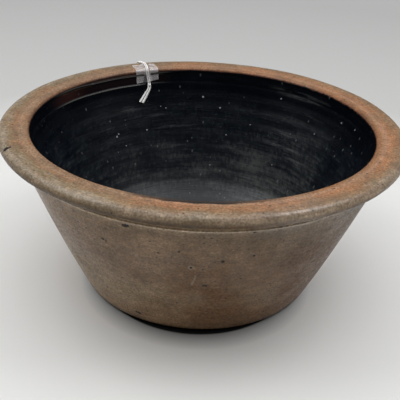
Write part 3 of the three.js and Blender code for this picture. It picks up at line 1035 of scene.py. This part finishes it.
# The paler lower wall is partly a painted sheen of the overhead light.
# Each has the height where it sets in, the height where it is full, and its strength there.
by_height = [
    {"Value": height, "From Min": start, "From Max": full, "To Min": 1.0, "To Max": strength}
    for start, full, strength in ((66 * MM, 38 * MM, 1.38), (30 * MM, 14 * MM, 0.66))
]
low_down, on_floor = (add(tree, "MapRange", inputs) for inputs in by_height)
# A painted sheen of the light makes the glaze paler round a place at the back right.
paler = add(tree, "VectorMath", {0: place, 1: SHEEN_PLACE}, operation="DISTANCE")
paler = {"Value": paler, "From Min": 12 * MM, "From Max": 60 * MM, "To Min": 1.46, "To Max": 1.0}
paler = add(tree, "MapRange", paler)
streaked = streaks
for part in (clouded, speckle, under_crest, low_down, on_floor, paler):
    streaked = add(tree, "Math", {0: streaked, 1: part}, operation="MULTIPLY")
darks = [(0.14, "04070d"), (0.23, "080d14"), (0.31, "13181e"), (0.42, "2a2d2f"), (0.62, "424543")]
dark = add(tree, "ValToRGB", {"Fac": streaked}, stops=darks)
print("glaze nodes so far", len(tree.nodes))

# %% [markdown]
# Years of spoons left scuffs on the floor, so it is greyer in dashes, and that grey is partly a
# painted sheen of the overhead light. Where the glaze is thin it is red brown, and the crests beside
# the band are pale with a painted highlight.

# %% The worn floor with its painted sheen, the thin edge and the crest highlights
WEAR_STARTS = face_total - 85 * MM
WEAR_FULL = face_total - 35 * MM

worn = add(tree, "MapRange", {"Value": down, "From Min": WEAR_STARTS, "From Max": WEAR_FULL, "To Max": 0.34})
dashed = add(tree, "MapRange", {"Value": dashes, "From Min": 0.36, "From Max": 0.66})
scuffs_and_sheen = add(tree, "Math", {0: worn, 1: dashed}, operation="MULTIPLY")
brown = add(tree, "MapRange", {"Value": thin, "From Min": 0.1, "From Max": 0.9, "To Max": 0.9})
crest_highlight = add(tree, "MapRange", {"Value": on_crest, "From Min": 0.25, "To Max": 0.4})
print("wear starts", round(WEAR_STARTS, 4), "down the face and is full at", round(WEAR_FULL, 4))

# %% [markdown]
# A few painted reflections of the light lie on the rings as paler bands of streaks. Each has a
# height in millimetres, the azimuths in degrees where it starts and ends, and a strength. It fades
# out to either side of its height and toward its ends, and the streaks break it into fine lines.

# %% Painted reflections on the rings
REFLECTION_ARCS = [
    (67.0, 29, 50, 0.3), (75.5, 34, 45, 0.2), (88.5, -42, -22, 0.14), (81.0, -38, -12, 0.12),
    (94.0, 44, 58, 0.14), (71.5, -30, 0, 0.1), (60.0, 36, 62, 0.12), (108.5, 26, 58, 0.26),
    (105.6, 30, 54, 0.2),
]
ARC_REACH = 2.2 * MM


def off_by(tree, value, middle):
    """How far a value is from this middle, to either side."""
    gap = add(tree, "Math", {0: value, 1: middle}, operation="SUBTRACT")
    return add(tree, "Math", {0: gap}, operation="ABSOLUTE")


azimuth = add(tree, "Math", {0: split.outputs["X"], 1: split.outputs["Y"]}, operation="ARCTAN2")
painted_reflections = None
for level, start, end, strength in REFLECTION_ARCS:
    aside = off_by(tree, height, level * MM)
    line = {"Value": aside, "From Max": ARC_REACH, "To Min": strength, "To Max": 0.0}
    line = add(tree, "MapRange", line)
    turned = off_by(tree, azimuth, math.radians((start + end) / 2))
    width = math.radians(end - start)
    window = {"Value": turned, "From Min": width * 0.2, "From Max": width * 0.5}
    window = add(tree, "MapRange", {**window, "To Min": 1.0, "To Max": 0.0})
    reflection_arc = add(tree, "Math", {0: line, 1: window}, operation="MULTIPLY")
    painted_reflections = add(tree, "Math", {0: painted_reflections, 1: reflection_arc}, operation="MAXIMUM") if painted_reflections else reflection_arc
arc_streaks = add(tree, "MapRange", {"Value": streaks, "From Min": 0.45, "From Max": 0.62})
painted_reflections = add(tree, "Math", {0: painted_reflections, 1: arc_streaks}, operation="MULTIPLY")
print("painted reflection arcs", len(REFLECTION_ARCS))

# %% [markdown]
# Small bumps in the glaze show as white specks, a painted glint of the light on each. The larger
# ones are placed by azimuth, height and radius as the pits are, and finer ones are scattered in
# cells of 4.2 mm, twice as tall as wide, since they are seen on a leaning wall. Then the colours go
# on in order.

# %% White specks, and the glaze's colour
WHITE_SPECKS = [
    (-0.7, 93.9, 0.75), (7.1, 86.2, 0.6), (33.2, 101.0, 0.6), (65.7, 101.2, 0.6),
    (75.3, 103.2, 0.6), (54.3, 84.8, 0.5), (53.1, 109.2, 0.5), (-43.2, 69.6, 0.7),
    (-42.0, 71.2, 0.6), (-27.3, 70.1, 0.6), (-39.5, 61.2, 0.5), (-17.2, 85.5, 0.45),
    (-19.5, 87.0, 0.4), (11.3, 65.8, 0.45), (4.6, 40.9, 0.5), (38.1, 51.0, 0.45), (22.0, 76.4, 0.4),
]


def on_lining(azimuth, height, radius):
    """A speck on the glazed wall."""
    return around(throat_end.x - (throat_end.y - height * MM) * wall_slope, azimuth, height, radius)


large = spots(tree, [on_lining(*speck) for speck in WHITE_SPECKS])
large = add(tree, "MapRange", {"Value": large, "From Min": -0.5, "From Max": 0.4})
tall = add(tree, "Mapping", {"Vector": place, "Scale": (1.0, 1.0, 0.5)})
small_glints = scattered(tree, tall, 4.2 * MM, channel=0, rare=0.2, least=-0.05, most=0.17)
small_glints = add(tree, "MapRange", {"Value": small_glints, "From Min": -0.03, "From Max": 0.06, "To Max": 0.25})
specks = add(tree, "Math", {0: large, 1: small_glints}, operation="MAXIMUM")
glass = dark
# The sheen in the floor's grey, the reflections on the rings, the crest highlights and the white of the
# specks are painted light.
for share, hex_value in (
    (scuffs_and_sheen, "373b39"),
    (brown, "38211f"),
    (painted_reflections, "8d9192"),
    (crest_highlight, "8b8b84"),
    (specks, "989a98"),
):
    glass = add(tree, "Mix", {"Factor": share, 6: glass, 7: colour(hex_value)}, data_type="RGBA")
print("white specks", len(WHITE_SPECKS))

# %% [markdown]
# The streaks and the specks stand up a little from the surface. A glaze is glossy, with small
# differences from cloud to cloud, but the floor is dulled by wear, the lower wall has a thin haze
# of use, and the undercut below the band takes little light. So the roughness rises there and
# the specular level falls.

# %% Relief and gloss of the glaze
relief = add(tree, "Math", {0: specks, 1: 0.8, 2: streaks}, operation="MULTIPLY_ADD")
bump = add(tree, "Bump", {"Height": relief, "Distance": 0.25 * MM, "Strength": 0.9})
gloss = add(tree, "MapRange", {**cloud_ends, "To Min": 0.2, "To Max": 0.33})
gloss = add(tree, "Math", {0: scuffs_and_sheen, 1: 0.1, 2: gloss}, operation="MULTIPLY_ADD")
low_haze = {"Value": height, "From Min": 75 * MM, "From Max": 45 * MM, "To Max": 0.13}
low_haze = add(tree, "MapRange", low_haze)
gloss = add(tree, "Math", {0: gloss, 1: low_haze}, operation="ADD")
shine = add(tree, "MapRange", {"Value": worn, "From Max": 0.3, "To Min": 0.4, "To Max": 0.08})
dull_band = add(tree, "MapRange", {**below_band, "To Min": 0.5})
shine = add(tree, "Math", {0: shine, 1: dull_band}, operation="MULTIPLY")
feed(tree, surface, {"Base Color": glass, "Roughness": gloss, "Specular IOR Level": shine, "Normal": bump})

lining = new_object("bowl_glaze", glaze_bm, black_glaze)
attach(lining, "root")
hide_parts("interior_glaze")
print("glaze nodes", len(tree.nodes))

# %% [markdown]
# ## The tape
#
# A strip of clear sticky tape is folded over the rim. Film this thin bends easily one way and
# not both, so it lies flat on the clay, stands like a tent over the string, and keeps some small
# creases. The strip is a grid whose points are placed by two numbers, how far across the
# string and how far along the rim's profile, and a third that says how high above it. So the
# string near the rim is measured in those numbers first.

# %% Where the tape lies
TAPE_WIDTH = 19.0 * MM
TAPE_INSIDE = 9.3 * MM
TAPE_OUTSIDE = 2.5 * MM
LOOK_STEP = 0.2 * MM

over_rim = [throat_end] + arc(mouth_centre, MOUTH_ROUND, math.pi, math.pi / 2, 12)
over_rim += arc(roll_centre, ROLL_RADIUS, math.pi / 2, -math.pi / 3, 24)
over_lengths = lengths_along(over_rim)
glaze_line_at = over_lengths[1] + (math.pi - GLAZE_LINE) * MOUTH_ROUND
tape_start = glaze_line_at - TAPE_INSIDE
tape_end = over_lengths[13] + ROLL_RADIUS * math.pi / 2 + TAPE_OUTSIDE


def onto_rim(point):
    """A point of the string as (across, along the profile, height above it)."""
    local = Matrix.Rotation(STRING_AZIMUTH, 4, "Z") @ point
    flat = Vector((math.hypot(local.x, local.y), local.z))
    across = flat.x * math.atan2(local.x, local.y)
    steps = range(int(over_lengths[-1] / LOOK_STEP))
    near = min(steps, key=lambda i: (point_at(over_rim, over_lengths, i * LOOK_STEP)[0] - flat).length)
    place = point_at(over_rim, over_lengths, near * LOOK_STEP)[0]
    return across, near * LOOK_STEP, (flat - place).length


rim_string = [onto_rim(Vector(point)) for point in string_line if Vector(point).z > BOWL_HEIGHT - 14 * MM]
print("string points at the rim", len(rim_string), "tape length", round(tape_end - tape_start, 4))

# %% [markdown]
# The film rises over the string and falls from it in straight slopes. Its creases are pulled
# nearly flat where it sticks to the smooth glaze, and its inside end is torn at a slant. The film
# is thinner than a tenth of a millimetre, and Solidify gives it that thickness.

# %% Make the tape
FILM_THICKNESS = 0.08 * MM
FILM_GAP = 0.1 * MM
FILM_SLOPE = 0.75
CREASE = 0.22 * MM
TORN = 1.0 * MM
PIECES_ACROSS = 76
PIECES_ALONG = 110


def film_height(across, along):
    """The film's height above the rim: it drapes in straight slopes over the string."""
    height = FILM_GAP
    for string_across, string_along, string_height in rim_string:
        if abs(string_along - along) < 0.8 * MM:
            top = string_height + STRING_DIAMETER / 2 + FILM_GAP
            slope = max(0.0, abs(across - string_across) - 0.3 * MM) * FILM_SLOPE
            height = max(height, top - slope)
    creases = noise.noise(Vector((across / (5 * MM), along / (1.3 * MM), 3.0)))
    pulled = 0.3 + 0.7 * smooth(glaze_line_at, glaze_line_at + 3 * MM, along)
    return height + CREASE * pulled * max(0.0, creases)


def make_tape():
    bm = bmesh.new()
    layers = [bm.verts.layers.float.new(name) for name in ("across", "along")]
    bmesh.ops.create_grid(bm, x_segments=PIECES_ACROSS, y_segments=PIECES_ALONG, size=0.5)
    for vert in bm.verts:
        across = vert.co.x * TAPE_WIDTH
        share = vert.co.y + 0.5
        torn = TORN * across / (TAPE_WIDTH / 2)
        torn += 0.25 * MM * noise.noise(Vector((across / (1.5 * MM), 0, 9.0)))
        along = tape_start + torn * (1 - share) + (tape_end - tape_start) * share
        place, outwards = point_at(over_rim, over_lengths, along)
        place = place - outwards * film_height(across, along)
        angle = across / place.x
        vert.co = Vector((place.x * math.sin(angle), place.x * math.cos(angle), place.y))
        vert[layers[0]] = across
        vert[layers[1]] = along
    bmesh.ops.transform(bm, matrix=Matrix.Rotation(-STRING_AZIMUTH, 4, "Z"), verts=bm.verts)
    bmesh.ops.smooth_vert(bm, verts=[v for v in bm.verts if not v.is_boundary], factor=0.4)
    bm.normal_update()
    return new_object("tape", bm, tape_film)


tape_film, tree, surface = new_material("clear_tape_film")
tape = make_tape()
film = tape.modifiers.new("film", "SOLIDIFY")
film.thickness = FILM_THICKNESS
film.offset = 0.0
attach(tape, "root")
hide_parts("clear_tape")
print("tape faces", len(tape.data.polygons))

# %% [markdown]
# Cellulose film is nearly clear. It shows by its gloss, by the white streaks of its creases where
# it turns over the rim, about 1.6 mm apart, which are partly painted highlights, and by a grey haze
# where air lies under it. It is whiter at its cut edges, at its torn end and at the fold, where the
# white is partly a painted highlight too, and clearer along the string, where it is pressed on. All
# that is a share of white film, so it goes to the material's alpha.

# %% The film's haze and streaks
STRING_LEAN = math.radians(15)
STRING_ASIDE = 0.4 * MM
LEAST_HAZE = 0.13

across = add(tree, "Attribute", attribute_name="across").outputs["Fac"]
along = add(tree, "Attribute", attribute_name="along").outputs["Fac"]
across_slow = add(tree, "Math", {0: across, 1: 0.18}, operation="MULTIPLY")
over_film = add(tree, "CombineXYZ", {0: across_slow, 1: along})
creases = {"Vector": over_film, "Scale": grain(1.6 * MM), "Detail": 3.0, "Roughness": 0.6}
creases = add(tree, "TexNoise", creases)
# The crease streaks are white film that is partly a painted highlight.
streak = add(tree, "MapRange", {"Value": creases, "From Min": 0.48, "From Max": 0.6})
on_top = {"Value": along, "From Min": glaze_line_at, "From Max": glaze_line_at + 6 * MM}
on_top = add(tree, "MapRange", {**on_top, "To Min": 0.07, "To Max": 0.46})
haze = add(tree, "Math", {0: streak, 1: on_top, 2: LEAST_HAZE}, operation="MULTIPLY_ADD")

edge = add(tree, "Math", {0: across}, operation="ABSOLUTE")
turn = add(tree, "Math", {0: along, 1: glaze_line_at}, operation="SUBTRACT")
fold = add(tree, "Math", {0: turn}, operation="ABSOLUTE")
for value, clear_at, white_at, share in (
    (edge, TAPE_WIDTH / 2 - 0.7 * MM, TAPE_WIDTH / 2, 0.25),
    (along, tape_start + 0.5 * MM, tape_start - TORN, 0.25),
    (fold, 3.5 * MM, 0.0, 0.14),
    (along, glaze_line_at + 1.5 * MM, glaze_line_at, 0.13),
):
    part = {"Value": value, "From Min": clear_at, "From Max": white_at, "To Max": share}
    part = add(tree, "MapRange", part)
    haze = add(tree, "Math", {0: haze, 1: part}, operation="ADD")

beside = add(tree, "Math", {0: turn, 1: -math.tan(STRING_LEAN), 2: across}, operation="MULTIPLY_ADD")
beside = off_by(tree, beside, STRING_ASIDE)
stuck = add(tree, "MapRange", {"Value": beside, "From Min": 1.0 * MM, "From Max": 2.2 * MM, "To Min": 0.3})
haze = add(tree, "Math", {0: haze, 1: stuck}, operation="MULTIPLY")
feed(tree, surface, {"Base Color": colour("eeeaea"), "Roughness": 0.2, "Alpha": haze})
print("film nodes", len(tree.nodes))

# %% [markdown]
# ## The floor
#
# The bowl stands on a plain sweep of pale paper. Its colour is brightest round the foot and greyer
# half a metre out, a painted pool of lamplight, and pale again far away, so that no edge shows at
# the horizon. The dark line of shade where the bowl meets the paper is painted by place, a little
# in front of the middle, because soft lamps leave it too faint.

# %% Make the floor
FLOOR_SIZE = 200.0
SHADE_CENTRE = (-0.3 * MM, -18 * MM, 0)
SHADE_START = 67.7 * MM
SHADE_END = 84 * MM

pale_paper, tree, surface = new_material("pale_paper")
place = add(tree, "TexCoord").outputs["Object"]
away = add(tree, "VectorMath", {0: place}, operation="LENGTH")
# The paper's colour holds a painted pool of light, brightest round the foot.
pool = add(tree, "MapRange", {"Value": away, "From Min": 0.14, "From Max": 2.14})
paper = [(0.0, "ebebe9"), (0.14, "c0c0be"), (0.4, "c6c6c4"), (1.0, "fbfbf9")]
paper = add(tree, "ValToRGB", {"Fac": pool}, stops=paper)
under = add(tree, "VectorMath", {0: place, 1: SHADE_CENTRE}, operation="DISTANCE")
under = add(tree, "MapRange", {"Value": under, "From Min": SHADE_START, "From Max": SHADE_END})
shade = add(tree, "ValToRGB", {"Fac": under}, stops=[(0.0, "101010"), (0.08, "bcbcbc"), (1.0, "ffffff")])
shaded = add(tree, "Mix", {"Factor": 1.0, 6: paper, 7: shade}, data_type="RGBA", blend_type="MULTIPLY")
feed(tree, surface, {"Base Color": shaded, "Roughness": 0.9})

bm = bmesh.new()
bmesh.ops.create_grid(bm, x_segments=2, y_segments=2, size=FLOOR_SIZE)
floor = new_object("floor", bm, pale_paper)
print("floor half width", FLOOR_SIZE)

# %% [markdown]
# ## The light
#
# The photograph's light is a studio's: a wide lamp overhead, and soft light from both sides. The
# world fills the shadows from above and from behind the bowl. It is dark toward the camera's side,
# which leaves the front wall its deep colour, and low down, apart from a thin grey strip that
# joins the far floor to it at the horizon. A colour renders about as it is written.

# %% Light the world
world = bpy.data.worlds.new("studio")
bpy.context.scene.world = world
world.use_nodes = True
tree = world.node_tree
split = add(tree, "SeparateXYZ", {0: add(tree, "TexCoord").outputs["Object"]})
room = {"Value": split.outputs["Y"], "From Min": -0.9, "From Max": 0.2, "To Min": 0.05, "To Max": 1.03}
room = add(tree, "MapRange", room, interpolation_type="SMOOTHSTEP")
height = split.outputs["Z"]
above = add(tree, "MapRange", {"Value": height, "From Min": 0.25, "From Max": 0.8, "To Min": 0.08})
horizon = {"Value": height, "From Min": 0.05, "From Max": 0.09, "To Min": 0.5, "To Max": 0.0}
horizon = add(tree, "MapRange", horizon)
glow = add(tree, "Math", {0: room, 1: above}, operation="MULTIPLY")
glow = add(tree, "Math", {0: glow, 1: horizon}, operation="MAXIMUM")
feed(tree, tree.nodes["Background"], {"Color": colour("f6f7f9"), "Strength": glow})
print("world nodes", len(tree.nodes))

# %% [markdown]
# Round area lamps give shadows with soft edges. They are white, and the two at the sides are
# smaller and weaker than the one overhead.

# %% Hang the lamps


def area_lamp(name, place, aim, size, power):
    data = bpy.data.lights.new(name, "AREA")
    data.shape = "DISK"
    data.size = size
    data.energy = power
    lamp = bpy.data.objects.new(name, data)
    lamp.location = place
    lamp.rotation_euler = (Vector(aim) - Vector(place)).to_track_quat("-Z", "Y").to_euler()
    bpy.context.collection.objects.link(lamp)


area_lamp("ceiling_lamp", (0, -0.2, 1.1), (0, 0, 0.05), 1.4, 5.2)
area_lamp("left_lamp", (-0.65, 0.0, 0.95), (0, 0, 0.03), 0.7, 3.6)
area_lamp("right_lamp", (0.65, 0.0, 0.95), (0, 0, 0.03), 0.7, 3.4)
print("lamps", len(bpy.data.lights))
